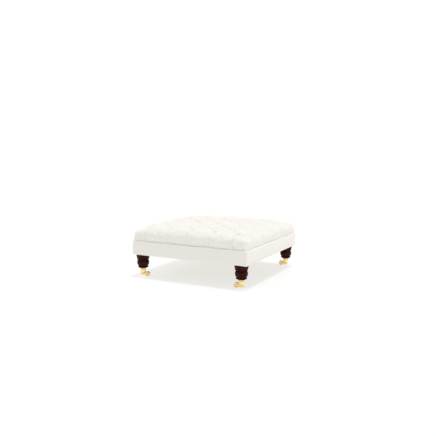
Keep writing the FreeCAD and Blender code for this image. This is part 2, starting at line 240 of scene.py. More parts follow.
for name in ["rail_front", "rail_back", "rail_left", "rail_right", "centre_brace"]:
    dress_node(name, timber)
for corner_name in corner_names:
    dress_node("corner_block_" + corner_name, timber)

# Leg bolts: zinc plated hexagon bolts, driven down through the corner blocks into the legs before
# the seat is covered.
steel = Finish("zinc_plate", Metallic=1.0, Roughness=0.35)
steel_bloom = steel.noise(steel.place(), 260.0, 3.0)
steel.tint(steel_bloom, (0.3, (0.52, 0.53, 0.55)), (0.7, (0.72, 0.73, 0.75)))
steel.set(Roughness=steel_bloom * 0.2 + 0.25)
dress_node("leg_bolts", steel)


def put_in_order(form):
    """Numbers a form's vertices, edges and faces by their places, so that every run is the same."""
    for index, vertex in enumerate(sorted(form.verts, key=lambda vertex: vertex.co[:])):
        vertex.index = index
    form.verts.sort()
    for items in (form.edges, form.faces):
        ranked = sorted(items, key=lambda item: sorted(vertex.index for vertex in item.verts))
        for index, item in enumerate(ranked):
            item.index = index
        items.sort()


def made(name, form, finish, body, sharp_angle=None):
    """Object from a bmesh, with its finish, riding on its body."""
    put_in_order(form)
    mesh = bpy.data.meshes.new(name)
    form.to_mesh(mesh)
    form.free()
    mesh.materials.append(finish.material)
    mesh.polygons.foreach_set("use_smooth", [True] * len(mesh.polygons))
    if sharp_angle is not None:
        mesh.set_sharp_from_angle(angle=sharp_angle)
    piece = bpy.data.objects.new(name, mesh)
    scene.collection.objects.link(piece)
    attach(piece, body)
    return piece


# Webbing: ten jute straps each way, woven over and under one another and tacked on the rails.
# Lengthways straps start over at one side, and each strap of the other set starts the other way.
strap_width = 50 * MM
strap_pitch = 92 * MM
strap_count = 10
strap_cloth = 0.9 * MM
webbing_low, webbing_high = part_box("webbing_lengthways")
crossing_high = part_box("webbing_crossways")[1]
strap_length = webbing_high.x - webbing_low.x
weave_height = (webbing_low.z + crossing_high.z) / 2.0
weave_rise = (crossing_high.z - webbing_low.z) / 2.0 - strap_cloth / 2.0
webbing = Finish("jute_webbing", Roughness=0.95, Specular_IOR_Level=0.1)
webbing_rib = {"Vector": webbing.place((900.0, 900.0, 900.0))}
webbing_threads = webbing.node("ShaderNodeTexWave", {"bands_direction": "DIAGONAL"}, webbing_rib)
webbing_dirt = webbing.noise(webbing.place(), 40.0, 4.0)
webbing.tint(webbing_dirt, (0.3, (0.34, 0.25, 0.15)), (0.7, (0.50, 0.39, 0.25)))
webbing.relief(webbing_threads, 0.5, 0.3 * MM)


def give_thickness(cloth, thickness):
    """Gives a cloth piece its thickness, half of it to each side."""
    body = cloth.modifiers.new("cloth", "SOLIDIFY")
    body.thickness = thickness
    body.offset = 0.0


def strap_set(name, quarter):
    """One direction of straps, each a strip that rises over every second strap of the other set."""
    form = bmesh.new()
    strap_steps = 120
    for index in range(strap_count):
        across = (index - (strap_count - 1) / 2.0) * strap_pitch
        strip = bmesh.ops.create_grid(form, x_segments=strap_steps, y_segments=2, size=0.5)["verts"]
        over = 1.0 if (index + quarter) % 2 else -1.0
        for vertex in strip:
            x = vertex.co.x * strap_length
            wave = over * math.cos(math.pi * (x / strap_pitch - 0.5))
            lift = weave_rise * max(-1.0, min(1.0, 2.0 * wave))
            vertex.co = (x, across + vertex.co.y * strap_width, weave_height + lift)
    bmesh.ops.rotate(form, verts=form.verts, matrix=Matrix.Rotation(quarter * math.pi / 2.0, 3, "Z"))
    straps = made(name, form, webbing, "stool")
    give_thickness(straps, strap_cloth)
    return straps


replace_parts(strap_set("webbing_straps_lengthways", 0), "webbing_lengthways")
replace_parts(strap_set("webbing_straps_crossways", 1), "webbing_crossways")

# Hessian: one square of coarse jute cloth over the webbing, tacked along the rails, that keeps the
# foam out of the gaps between the straps.
hessian_low, hessian_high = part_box("hessian")
hessian_side = hessian_high.x - hessian_low.x
hessian_dip = 0.15 * MM
hessian_thickness = 0.3 * MM
hessian = Finish("hessian", Roughness=0.97, Specular_IOR_Level=0.05)
hessian_warp, hessian_weft = hessian.weave(hessian.place((1400.0, 1400.0, 1400.0)))
hessian_slub = hessian.noise(hessian.place((300.0, 30.0, 30.0)), 1.0, 3.0)
hessian.tint(hessian_slub, (0.3, (0.30, 0.21, 0.11)), (0.7, (0.46, 0.35, 0.21)))
hessian.relief(hessian_warp * hessian_weft, 0.6, 0.4 * MM)
hessian_form = bmesh.new()
bmesh.ops.create_grid(hessian_form, x_segments=80, y_segments=80, size=hessian_side / 2.0)
for vertex in hessian_form.verts:
    along = math.cos(2.0 * math.pi * vertex.co.x / strap_pitch)
    across = math.cos(2.0 * math.pi * vertex.co.y / strap_pitch)
    vertex.co.z = (hessian_low.z + hessian_high.z) / 2.0 + hessian_dip * along * across
hessian_cloth = made("hessian_cloth", hessian_form, hessian, "stool")
give_thickness(hessian_cloth, hessian_thickness)
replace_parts(hessian_cloth, "hessian")

# Foam core: a slab of firm upholstery foam, with its edges trimmed round. It is laid on the
# hessian, and the cover holds it.
foam_low, foam_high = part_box("foam_core")
foam_corner = 12 * MM
foam_edge = 9 * MM
foam = Finish("foam", Roughness=0.9, Specular_IOR_Level=0.2)
foam_pores = foam.noise(foam.place(), 900.0, 3.0, 0.7)
foam.tint(foam_pores, (0.35, (0.74, 0.66, 0.42)), (0.65, (0.86, 0.80, 0.60)))
foam.relief(foam_pores, 0.7, 0.6 * MM)


def upright_edges(form):
    return [edge for edge in form.edges if abs(edge.verts[0].co.z - edge.verts[1].co.z) > 1e-6]


def bevelled(form, edges, radius, segments):
    """Rounds edges of a form."""
    return bmesh.ops.bevel(
        form,
        geom=edges,
        offset=radius,
        offset_type="OFFSET",
        segments=segments,
        profile=0.5,
        affect="EDGES",
        material=-1,
    )


foam_form = bmesh.new()
bmesh.ops.create_cube(foam_form, size=1.0)
bmesh.ops.scale(foam_form, vec=foam_high - foam_low, verts=foam_form.verts)
bmesh.ops.translate(foam_form, vec=(foam_low + foam_high) / 2.0, verts=foam_form.verts)
bevelled(foam_form, upright_edges(foam_form), foam_corner, 10)
level_rims = [edge for edge in foam_form.edges if abs(edge.verts[0].co.z - edge.verts[1].co.z) < 1e-6]
bevelled(foam_form, level_rims, foam_edge, 4)
foam_block = made("foam_block", foam_form, foam, "stool", math.radians(40))
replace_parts(foam_block, "foam_core")

# Rail wadding: polyester wadding wrapped round the outside of the rails, under the cover.
# It and the cover are strips carried round a square with rounded corners.
cover_low, cover_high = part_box("rail_cover")
rail_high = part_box("rail_front")[1]
corner_share = 0.1
least_corner = 0.6 * MM
side_steps = 124
corner_steps = 12


def square_path(place, half, corner):
    """Point on a square with rounded corners. One unit of place is one side with its corner."""
    side = math.floor(place)
    along = place - side
    straight = half - corner
    if along < 1.0 - corner_share:
        y = -straight + 2.0 * straight * along / (1.0 - corner_share)
        point = Vector((straight + corner, y, 0.0))
    else:
        turn = (along - 1.0 + corner_share) / corner_share * math.pi / 2.0
        outward = Vector((math.cos(turn), math.sin(turn), 0.0))
        point = Vector((straight, straight, 0.0)) + corner * outward
    return Matrix.Rotation(side * math.pi / 2.0, 3, "Z") @ point


def wrapped_strip(section, half, corner):
    """Strip round the seat. The section is a list of points: how far in from the side, and height."""
    form = bmesh.new()
    around = 4 * (side_steps + corner_steps)
    across = len(section) - 1
    bmesh.ops.create_grid(form, x_segments=around, y_segments=across, size=0.5)
    for vertex in form.verts:
        column = round((vertex.co.x + 0.5) * around)
        row = round((vertex.co.y + 0.5) * across)
        side, step = divmod(column, side_steps + corner_steps)
        if step <= side_steps:
            place = side + (1.0 - corner_share) * step / side_steps
        else:
            place = side + 1.0 - corner_share + corner_share * (step - side_steps) / corner_steps
        inset, height = section[row]
        point = square_path(place, half - inset, max(corner - inset, least_corner))
        vertex.co = (point.x, point.y, height)
    bmesh.ops.remove_doubles(form, verts=form.verts, dist=0.01 * MM)
    bmesh.ops.recalc_face_normals(form, faces=form.faces)
    return form


def pinch_corners(form, half):
    """Draws the outside of a strip in along the upright fold at each corner."""
    stitch_depth = 1.1 * MM
    stitch_width = 2.6 * MM
    face_depth = 4.5 * MM
    for vertex in form.verts:
        plan = Vector((vertex.co.x, vertex.co.y, 0.0))
        nearer = min(abs(plan.x), abs(plan.y))
        further = max(abs(plan.x), abs(plan.y))
        if nearer > half - 2.0 * cover_corner and further > half - face_depth:
            from_fold = (further - nearer) / math.sqrt(2.0)
            vertex.co -= plan.normalized() * stitch_depth * math.exp(-((from_fold / stitch_width) ** 2))


def round_corner(centre, radius, first, last, steps):
    """Points of a section that turn about a centre, from one angle to another, in degrees."""
    points = []
    for step in range(steps + 1):
        turn = math.radians(first + (last - first) * step / steps)
        points.append((centre[0] - radius * math.cos(turn), centre[1] + radius * math.sin(turn)))
    return points


wadding = Finish("wadding", Roughness=1.0, Specular_IOR_Level=0.05)
wadding_fibres = wadding.noise(wadding.place((200.0, 200.0, 60.0)), 2.0, 6.0, 0.7)
wadding.tint(wadding_fibres, (0.3, (0.78, 0.78, 0.76)), (0.7, (0.88, 0.88, 0.87)))
wadding.relief(wadding_fibres, 0.8, 1.0 * MM)
cloth_thickness = 1.5 * MM
wadding_corner = 4.7 * MM
wadding_gap = 0.3 * MM
cover_inset = 0.6 * MM
cover_half = cover_high.x - cloth_thickness / 2.0 - cover_inset
cover_corner = 10 * MM
under_cloth = cloth_thickness / 2.0 + wadding_gap
wadding_half = cover_half - under_cloth
wadding_back = wadding_half - rail_high.x - wadding_gap
wadding_base = cover_low.z + cloth_thickness + wadding_gap
wadding_top = cover_high.z - cloth_thickness - wadding_gap
wadding_section = [(wadding_back, wadding_base)]
wadding_section += round_corner((wadding_corner, wadding_base + wadding_corner), wadding_corner, -90, 0, 4)
for share in range(1, 10):
    face_height = wadding_top - wadding_base - 2.0 * wadding_corner
    wadding_section.append((0.0, wadding_base + wadding_corner + face_height * share / 10.0))
wadding_section += round_corner((wadding_corner, wadding_top - wadding_corner), wadding_corner, 0, 90, 4)
wadding_section += [(wadding_back, wadding_top), (wadding_back, wadding_base)]
wadding_form = wrapped_strip(wadding_section, wadding_half, cover_corner - under_cloth)
pinch_corners(wadding_form, wadding_half)
rail_wadding = made("rail_wadding", wadding_form, wadding, "stool")
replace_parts(rail_wadding, "rail_padding")

# Ivory cloth: a close plain weave of cotton and linen, with thicker threads here and there. The
# pattern lies on each piece's UV map, which is its own surface measured in metres.
thread_pitch = 0.9 * MM
ivory = Finish("ivory_cloth", Roughness=0.92, Specular_IOR_Level=0.18, Sheen_Weight=0.12)
ivory_turns = math.pi / thread_pitch
ivory_warp, ivory_weft = ivory.weave(ivory.place((ivory_turns, ivory_turns, 1.0), source="UV"))
warp_slub = ivory.noise(ivory.place((22.0, 900.0, 1.0), source="UV"), 1.0, 2.0)
weft_slub = ivory.noise(ivory.place((900.0, 22.0, 1.0), source="UV"), 1.0, 2.0)
ivory_cloud = ivory.noise(ivory.place(), 5.0, 3.0)
ivory_shade = warp_slub * 0.4 + weft_slub * 0.4 + ivory_cloud * 0.2
ivory.tint(
    ivory_shade,
    (0.35, (0.765, 0.746, 0.690)),
    (0.5, (0.797, 0.778, 0.722)),
    (0.65, (0.820, 0.803, 0.750)),
)
ivory.relief(ivory_warp * ivory_weft + warp_slub + weft_slub, 0.35, 0.25 * MM)


def lay_weave(piece):
    """UV map of a cloth piece in metres, each face laid flat along the axis that it faces most."""
    mesh = piece.data
    layer = mesh.uv_layers.new(name="cloth")
    corners = np.zeros(len(mesh.loops), np.int32)
    mesh.loops.foreach_get("vertex_index", corners)
    points = np.zeros(len(mesh.vertices) * 3, np.float32)
    mesh.vertices.foreach_get("co", points)
    points = points.reshape(-1, 3)[corners]
    facing = np.zeros(len(mesh.polygons) * 3, np.float32)
    mesh.polygons.foreach_get("normal", facing)
    sizes = np.zeros(len(mesh.polygons), np.int32)
    mesh.polygons.foreach_get("loop_total", sizes)
    axis = np.repeat(np.abs(facing.reshape(-1, 3)).argmax(1), sizes)
    across = np.where(axis == 0, points[:, 1], points[:, 0])
    up = np.where(axis == 2, points[:, 1], points[:, 2])
    layer.data.foreach_set("uv", np.stack([across, up], 1).astype(np.float32).ravel())


# Rail cover: a band of the ivory cloth pulled over the wadding, turned in under the cushion and
# under the rails, and closed at each corner with an upright slip-stitched fold. Its lower edge is
# filled out and rolls down a little past the underside.
cover_top = cover_high.z - cloth_thickness / 2.0
cover_base = cover_low.z + cloth_thickness / 2.0
cover_edge = 5.5 * MM
cover_ledge_edge = 3.0 * MM
cover_roll = 5.0 * MM
roll_inset = 13 * MM
roll_base = cover_base - cover_roll
top_turn_in = 33 * MM
bottom_turn_in = 44 * MM
cover_rows = 12
cover_section = [(bottom_turn_in, cover_base), (bottom_turn_in / 2.0, cover_base)]
cover_section += [(roll_inset, cover_base - 0.6 * cover_roll)]
cover_section += round_corner((cover_edge, roll_base + cover_edge), cover_edge, -90, 0, 6)
for share in range(1, cover_rows):
    face_height = cover_top - roll_base - cover_edge - cover_ledge_edge
    cover_section.append((0.0, roll_base + cover_edge + face_height * share / cover_rows))
ledge_centre = (cover_ledge_edge, cover_top - cover_ledge_edge)
cover_section += round_corner(ledge_centre, cover_ledge_edge, 0, 90, 5)
cover_section += [(0.6 * top_turn_in, cover_top), (top_turn_in, cover_top)]
cover_form = wrapped_strip(cover_section, cover_half, cover_corner)


def inflate(form, held, pressure, looseness, reach, frames=20):
    """Blows up the cloth of a form between the places where it is held, as its filling does.

    held gives each vertex its pin, from 0 to 1, and no vertex moves further than reach.
    """
    mesh = bpy.data.meshes.new("cloth_run")
    form.to_mesh(mesh)
    runner = bpy.data.objects.new("cloth_run", mesh)
    scene.collection.objects.link(runner)
    pins = runner.vertex_groups.new(name="held")
    for index, pin in enumerate(held):
        if pin > 0.0:
            pins.add([index], float(pin), "REPLACE")
    modifier = runner.modifiers.new("cloth", "CLOTH")
    modifier.settings.quality = 6
    modifier.settings.mass = 0.3
    modifier.settings.tension_stiffness = 25.0
    modifier.settings.compression_stiffness = 12.0
    modifier.settings.shear_stiffness = 8.0
    modifier.settings.bending_stiffness = 0.6
    modifier.settings.use_pressure = True
    modifier.settings.uniform_pressure_force = pressure
    modifier.settings.vertex_group_mass = "held"
    modifier.settings.shrink_min = -looseness
    modifier.settings.effector_weights.gravity = 0.0
    modifier.collision_settings.use_collision = False
    for number in range(1, frames + 1):
        scene.frame_set(number)
    settled = runner.evaluated_get(bpy.context.evaluated_depsgraph_get()).data
    after = np.zeros(len(mesh.vertices) * 3, np.float32)
    settled.vertices.foreach_get("co", after)
    after = after.reshape(-1, 3)
    for vertex, point in zip(form.verts, after):
        step = Vector(point.tolist()) - vertex.co
        if step.length > reach:
            step *= reach / step.length
        vertex.co += step
    scene.frame_set(1)
    bpy.data.objects.remove(runner)
    bpy.data.meshes.remove(mesh)


cover_form.normal_update()
cover_pins = []
wadding_skin = []
for vertex in cover_form.verts:
    reach_out = max(abs(vertex.co.x), abs(vertex.co.y))
    cover_pins.append(1.0 if reach_out < cover_half - cover_edge * 0.9 else 0.0)
    wadding_skin.append((vertex.co.copy(), vertex.normal.copy()))
inflate(cover_form, cover_pins, pressure=2.0, looseness=0.004, reach=2.2 * MM, frames=14)
# The wadding holds the cloth out wherever it would draw in
for vertex, (start, outside) in zip(cover_form.verts, wadding_skin):
    if (vertex.co - start).dot(outside) < 0.0:
        vertex.co = start
pinch_corners(cover_form, cover_half)
rail_band = made("rail_band", cover_form, ivory, "stool")
lay_weave(rail_band)
give_thickness(rail_band, cloth_thickness)
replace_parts(rail_band, "rail_cover")

# Cushion cover: the ivory cloth with loose fibre under it, pulled down to the foam at forty-one
# buttons. Its spare width is folded into pleats that run from button to button on the diagonal,
# and straight over the edge from the outer buttons to the seam.
cushion_low, cushion_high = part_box("top_cover")
cushion_half = cushion_high.x
half_pitch = 95.25 * MM
button_rows = 5
field_edge = half_pitch * (button_rows - 1)
field_steps = 9 * (button_rows - 1)
border_steps = 10
drop_steps = 12
button_plane = 387 * MM
seam_height = cushion_low.z + 0.15 * MM
side_inset = 2.5 * MM
shoulder = 27 * MM
starting_rise = 8.0 * MM
crown_rise = 4.5 * MM
border_drop = 3.0 * MM
corner_drop = 36.0 * MM
corner_reach = 120 * MM
seam_draw = 0.8 * MM
seam_reach = 24 * MM
side_fall = 60 * MM
side_squareness = 0.6
puff_fade = 0.85
puff_fade_depth = 45 * MM
puff_rise = starting_rise
puff_plane = button_plane + puff_rise
puff_radius = (half_pitch**2 + puff_rise**2) / (2.0 * puff_rise)


def smooth_step(value, first, last):
    """Goes smoothly from 0 to 1 between two values."""
    share = np.clip((value - first) / (last - first), 0.0, 1.0)
    return share * share * (3.0 - 2.0 * share)


def puff_drop(distance):
    """How far a puff's surface lies below its crown, at a distance from its middle."""
    return puff_radius - np.sqrt(puff_radius**2 - distance**2)


def crown_at(x, y):
    """How far the whole cushion is crowned at a place in plan."""
    return crown_rise * (1.0 - (x / cushion_half) ** 2) * (1.0 - (y / cushion_half) ** 2)


def from_gap(place):
    """Distance along one axis to the middle of the nearest gap between two edge buttons."""
    return place - (2.0 * np.round((place / half_pitch - 1.0) / 2.0) + 1.0) * half_pitch


def puff_dip(x, y):
    """Depth of the buttoned surface below the crowns of its puffs."""
    inner_x = np.clip(x, -field_edge, field_edge)
    inner_y = np.clip(y, -field_edge, field_edge)
    along = (inner_x + inner_y) / half_pitch
    away = (inner_x - inner_y) / half_pitch
    along = 2.0 * np.round((along - 1.0) / 2.0) + 1.0
    away = 2.0 * np.round((away - 1.0) / 2.0) + 1.0
    middle_x = (along + away) / 2.0 * half_pitch
    middle_y = (along - away) / 2.0 * half_pitch
    field = puff_drop(np.hypot(inner_x - middle_x, inner_y - middle_y))
    border_x = puff_drop(from_gap(x))
    border_y = puff_drop(from_gap(y))
    past_x = np.abs(x) > field_edge
    past_y = np.abs(y) > field_edge
    return np.where(
        past_x & past_y,
        np.maximum(border_x, border_y),
        np.where(past_y, border_x, np.where(past_x, border_y, field)),
    )


def nearest_pleat(place):
    """Signed distance along one axis to the nearest line of buttons."""
    return place - 2.0 * half_pitch * np.round(place / (2.0 * half_pitch))


def button_distance(x, y):
    """Distance in plan to the nearest button of the field."""
    along = np.round((x + y) / (2.0 * half_pitch))
    away = np.round((x - y) / (2.0 * half_pitch))
    return np.hypot(x - (along + away) * half_pitch, y - (along - away) * half_pitch)


def extend_rim(form, travel=(0.0, 0.0, 0.0)):
    """Extrudes the open rim of a form, moves the new rim and returns its vertices."""
    rim = [edge for edge in form.edges if edge.is_boundary]
    ring = bmesh.ops.extrude_edge_only(form, edges=rim)["geom"]
    ring_verts = [item for item in ring if isinstance(item, bmesh.types.BMVert)]
    bmesh.ops.translate(form, vec=travel, verts=ring_verts)
    return ring_verts


def close_rim(form):
    """Fills the open rim of a form, and turns all its faces outwards."""
    bmesh.ops.contextual_create(form, geom=[edge for edge in form.edges if edge.is_boundary])
    bmesh.ops.recalc_face_normals(form, faces=form.faces)


cushion_form = bmesh.new()
grid_half = field_steps + border_steps
bmesh.ops.create_grid(cushion_form, x_segments=2 * grid_half, y_segments=2 * grid_half, size=grid_half)
cushion_side = cushion_half - side_inset
border_step = (cushion_side - field_edge) / border_steps


def grid_place(index):
    """Place of a grid line: even steps in the button field, and even steps in the border."""
    beyond = max(abs(index) - field_steps, 0.0)
    inside = min(abs(index), field_steps)
    return math.copysign(inside * field_edge / field_steps + beyond * border_step, index)


for vertex in cushion_form.verts:
    vertex.co = (grid_place(vertex.co.x), grid_place(vertex.co.y), puff_plane)
drop = (puff_plane - seam_height) / drop_steps
for row in range(drop_steps):
    extend_rim(cushion_form, (0.0, 0.0, -drop))
bmesh.ops.recalc_face_normals(cushion_form, faces=cushion_form.faces)
put_in_order(cushion_form)


def points_of(form):
    return np.array([vertex.co for vertex in form.verts], float)


def move_to(form, points):
    for vertex, point in zip(form.verts, points.tolist()):
        vertex.co = point


# The square block is rounded at its shoulders and corners, less so towards the seam, then dipped
# along the buttons
block = points_of(cushion_form)
below_shoulder = puff_plane - shoulder - block[:, 2]
rounding = shoulder * (1.0 - side_squareness * smooth_step(below_shoulder, 0.0, side_fall))
core_side = cushion_side - rounding
core = np.stack(
    [
        np.clip(block[:, 0], -core_side, core_side),
        np.clip(block[:, 1], -core_side, core_side),
        np.minimum(block[:, 2], puff_plane - shoulder),
    ],
    1,
)
outward = block - core
outward /= np.linalg.norm(outward, axis=1)[:, None]
rounded = core + outward * rounding[:, None]
side_depth = puff_plane - shoulder - rounded[:, 2]
fade = 1.0 - puff_fade * smooth_step(side_depth, -shoulder * 0.4, puff_fade_depth)
dip = puff_dip(rounded[:, 0], rounded[:, 1]) * fade
crown = crown_at(rounded[:, 0], rounded[:, 1])
draw = seam_draw * smooth_step(seam_height + seam_reach - rounded[:, 2], 0.0, seam_reach)
# The border is filled less than the field, and least of all at the four corners
to_corner = 2.0 * cushion_half - np.abs(rounded[:, 0]) - np.abs(rounded[:, 1])
sag = border_drop + corner_drop * np.exp(-to_corner / corner_reach)
sag *= smooth_step(np.abs(rounded[:, :2]).max(1) - field_edge, 0.0, side_fall)
sag *= (rounded[:, 2] - seam_height) / (puff_plane - seam_height)
rounded -= outward * (dip + draw)[:, None]
rounded[:, 2] += crown - sag
move_to(cushion_form, rounded)

pleat_width = 2 * MM
pleat_hold = 0.8
side_pleat_hold = 0.3
button_hold_radius = 13 * MM
plan_x = rounded[:, 0]
plan_y = rounded[:, 1]
in_field = (np.abs(plan_x) < field_edge + MM) & (np.abs(plan_y) < field_edge + MM)
rising_line = np.abs(nearest_pleat(plan_x + plan_y))
falling_line = np.abs(nearest_pleat(plan_x - plan_y))
diagonal_line = np.minimum(rising_line, falling_line)
over_x = np.where(np.abs(plan_y) > field_edge, np.abs(nearest_pleat(plan_x)), 1.0)
over_y = np.where(np.abs(plan_x) > field_edge, np.abs(nearest_pleat(plan_y)), 1.0)
edge_line = np.minimum(over_x, over_y)
on_top = rounded[:, 2] > puff_plane - shoulder
pins = np.zeros(len(rounded))
pins[in_field & (diagonal_line < pleat_width)] = pleat_hold
pins[~in_field & on_top & (edge_line < pleat_width)] = pleat_hold
pins[~in_field & ~on_top & (edge_line < pleat_width)] = side_pleat_hold
pins[in_field & (button_distance(plan_x, plan_y) < button_hold_radius)] = 1.0
pins[rounded[:, 2] < seam_height + 1.2 * drop] = 1.0
inflate(cushion_form, pins, pressure=4.0, looseness=0.02, reach=7.0 * MM)

# The cloth gets its final fineness, then an edge loop on and beside each pleat
bmesh.ops.subdivide_edges(
    cushion_form, edges=cushion_form.edges, cuts=1, use_grid_fill=True, smooth=0.0
)
bmesh.ops.smooth_vert(
    cushion_form,
    verts=[vertex for vertex in cushion_form.verts if not vertex.is_boundary],
    factor=0.5,
    use_axis_x=True,
    use_axis_y=True,
    use_axis_z=True,
)
pleat_cuts = [-5.0 * MM, -2.0 * MM, 0.0, 0.9 * MM, 2.4 * MM, 5.5 * MM]
pleat_strip = 12 * MM
cut_overlap = 3 * MM


def cut_pleat(direction, place, wanted):
    """Cuts edge loops along a pleat that lies at one place along a direction in plan."""
    near = []
    for face in cushion_form.faces:
        middle = face.calc_center_median()
        if abs(middle.dot(direction) - place) < pleat_strip and wanted(middle):
            near.append(face)
    # The keys of a dict, because they keep their order
    geometry = dict.fromkeys(near)
    for face in near:
        geometry.update(dict.fromkeys(face.edges))
        geometry.update(dict.fromkeys(face.verts))
    geometry = list(geometry)
    for offset in pleat_cuts:
        cut = bmesh.ops.bisect_plane(
            cushion_form,
            geom=geometry,
            dist=0.05 * MM,
            plane_co=direction * (place + offset),
            plane_no=direction,
        )
        geometry = cut["geom"]


diagonals = [Vector((1.0, 1.0, 0.0)).normalized(), Vector((1.0, -1.0, 0.0)).normalized()]
diagonal_pitch = math.sqrt(2.0) * half_pitch
for direction in diagonals:
    for line in range(1 - button_rows, button_rows):
        cut_pleat(
            direction,
            line * diagonal_pitch,
            lambda middle: max(abs(middle.x), abs(middle.y)) < field_edge + cut_overlap,
        )
axes = [(Vector((1.0, 0.0, 0.0)), 1), (Vector((0.0, 1.0, 0.0)), 0)]
for direction, other in axes:
    for line in range(1 - button_rows, button_rows, 2):
        cut_pleat(
            direction,
            line * half_pitch,
            lambda middle: abs(middle[other]) > field_edge - cut_overlap,
        )


def pleat_relief(distance):
    """Section of a pleat: a slope that runs under on one side, and a rolled fold on the other."""
    slope_width = 3.2 * MM
    fold_width = 1.0 * MM
    roll_place = 4.0 * MM
    roll_width = 3.0 * MM
    under = -np.exp(distance / slope_width)
    roll = 0.28 * np.exp(-(((distance - roll_place) / roll_width) ** 2))
    return np.where(distance < 0.0, under, roll - np.exp(-distance / fold_width))


skin = points_of(cushion_form)
cushion_form.normal_update()
facing = np.array([vertex.normal for vertex in cushion_form.verts], float)
x = skin[:, 0]
y = skin[:, 1]
past = np.maximum(np.abs(x), np.abs(y)) - field_edge
pleat_overlap = 6 * MM
inside = 1.0 - smooth_step(past, -1 * MM, pleat_overlap)
outside = smooth_step(past, -pleat_overlap, 1 * MM)
pleat_depth = 3.4 * MM
rising_relief = pleat_relief(nearest_pleat(x + y) / math.sqrt(2.0))
falling_relief = pleat_relief(nearest_pleat(x - y) / math.sqrt(2.0))
diagonal_relief = np.minimum(rising_relief, falling_relief)
toward_seam = 1.3 - 0.6 * smooth_step(puff_plane - shoulder - skin[:, 2], 0.0, side_fall)
relief_x = np.where(np.abs(y) > field_edge - pleat_overlap, pleat_relief(nearest_pleat(x)), 0.0)
relief_y = np.where(np.abs(x) > field_edge - pleat_overlap, pleat_relief(nearest_pleat(y)), 0.0)
edge_relief = np.minimum(relief_x, relief_y) * toward_seam
dimple_depth = 2.6 * MM
dimple_width = 15 * MM
dimple = dimple_depth * np.exp(-((button_distance(x, y) / dimple_width) ** 2)) * inside
shift = pleat_depth * (diagonal_relief * inside + edge_relief * outside) - dimple
move_to(cushion_form, skin + facing * shift[:, None])

# Underneath, a flat rim stands on the turned-in rail cover, and a pocket takes the foam
underside_rim = 6 * MM
foam_slack = 1.2 * MM
for vertex in extend_rim(cushion_form):
    span = max(abs(vertex.co.x), abs(vertex.co.y))
    share = (span - underside_rim) / span
    vertex.co = (vertex.co.x * share, vertex.co.y * share, seam_height)
for height in (seam_height, foam_high.z + foam_slack):
    for vertex in extend_rim(cushion_form):
        span = max(abs(vertex.co.x), abs(vertex.co.y))
        share = min(1.0, (foam_high.x + foam_slack) / span)
        vertex.co = (vertex.co.x * share, vertex.co.y * share, height)
close_rim(cushion_form)
cushion = made("buttoned_cushion", cushion_form, ivory, "stool")
lay_weave(cushion)
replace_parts(cushion, "top_cover")

# Buttons: forty-one shell buttons covered in the same cloth, tied down through the foam. Each sits
# in its dimple, at the crossing of the pleats.
button_radius = 12.2 * MM
button_dome = 4.6 * MM
button_sink = 1.4 * MM
button_stand = 1.6 * MM
button_rim = (0.985 * button_radius, 0.2 * button_dome)


def spun(profile, segments):
    """Form turned about the vertical axis from a list of radii and heights."""
    form = bmesh.new()
    verts = [form.verts.new((radius, 0.0, height)) for radius, height in profile]
    edges = [form.edges.new(pair) for pair in zip(verts[:-1], verts[1:])]
    bmesh.ops.spin(
        form,
        geom=verts + edges,
        cent=(0.0, 0.0, 0.0),
        axis=(0.0, 0.0, 1.0),
        angle=2.0 * math.pi,
        steps=segments,
        use_merge=True,
        use_duplicate=False,
    )
    bmesh.ops.remove_doubles(form, verts=form.verts, dist=0.001 * MM)
    bmesh.ops.recalc_face_normals(form, faces=form.faces)
    return form


def moulding(start, end, bulge, steps):
    """Points of a profile from start to end that swell out by bulge, or in where it is negative."""
    points = []
    for step in range(1, steps + 1):
        turn = math.pi * step / steps
        share = (1.0 - math.cos(turn)) / 2.0
        radius = start[0] + (end[0] - start[0]) * share + bulge * math.sin(turn)
        points.append((radius, start[1] + (end[1] - start[1]) * share))
    return points


def placed(target, source, matrix):
    """Adds a copy of a form to another, moved by a matrix."""
    mesh = bpy.data.meshes.new("copy")
    source.to_mesh(mesh)
    mesh.transform(matrix)
    target.from_mesh(mesh)
    bpy.data.meshes.remove(mesh)


button_profile = [(0.0, -button_sink), (0.7 * button_radius, -button_sink)]
button_profile += moulding(button_profile[-1], button_rim, 1.1 * MM, 5)
for step in range(1, 8):
    lean = math.radians(90.0 * step / 7.0)
    shell_height = button_rim[1] + 0.8 * button_dome * math.sin(lean)
    button_profile.append((button_rim[0] * math.cos(lean) if step < 7 else 0.0, shell_height))
one_button = spun(button_profile, 28)
buttons_form = bmesh.new()
for row in range(1 - button_rows, button_rows):
    for column in range(1 - button_rows, button_rows):
        if (row + column) % 2 == 0:
            x = column * half_pitch
            y = row * half_pitch
            spot = (x, y, button_plane + button_stand + crown_at(x, y))
            placed(buttons_form, one_button, Matrix.Translation(spot))
one_button.free()
covered_buttons = made("covered_buttons", buttons_form, ivory, "stool")
lay_weave(covered_buttons)
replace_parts(covered_buttons, "buttons")

# Dust cover: black spun-bonded cloth under the frame, folded under at its edge and stapled to the
# rails. It hangs down a little in the middle.
dust_low, dust_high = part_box("dust_cover")
dust_half = dust_high.x
dust_thickness = dust_high.z - dust_low.z
dust_sag = 3.0 * MM
dust_ripple = 0.25 * MM
black_cloth = Finish("black_cloth", Roughness=0.9, Specular_IOR_Level=0.2)
dot_place = {"Vector": black_cloth.place(), "Scale": 700.0}
black_dots = black_cloth.node("ShaderNodeTexVoronoi", {"voronoi_dimensions": "2D"}, dot_place)
black_fibres = black_cloth.noise(black_cloth.place(), 300.0, 5.0, 0.7)
black_cloth.tint(black_fibres, (0.3, (0.012, 0.012, 0.013)), (0.7, (0.03, 0.03, 0.032)))
black_cloth.relief(black_dots + black_fibres * 0.5, 0.5, 0.2 * MM)
dust_form = bmesh.new()
bmesh.ops.create_grid(dust_form, x_segments=96, y_segments=96, size=dust_half)
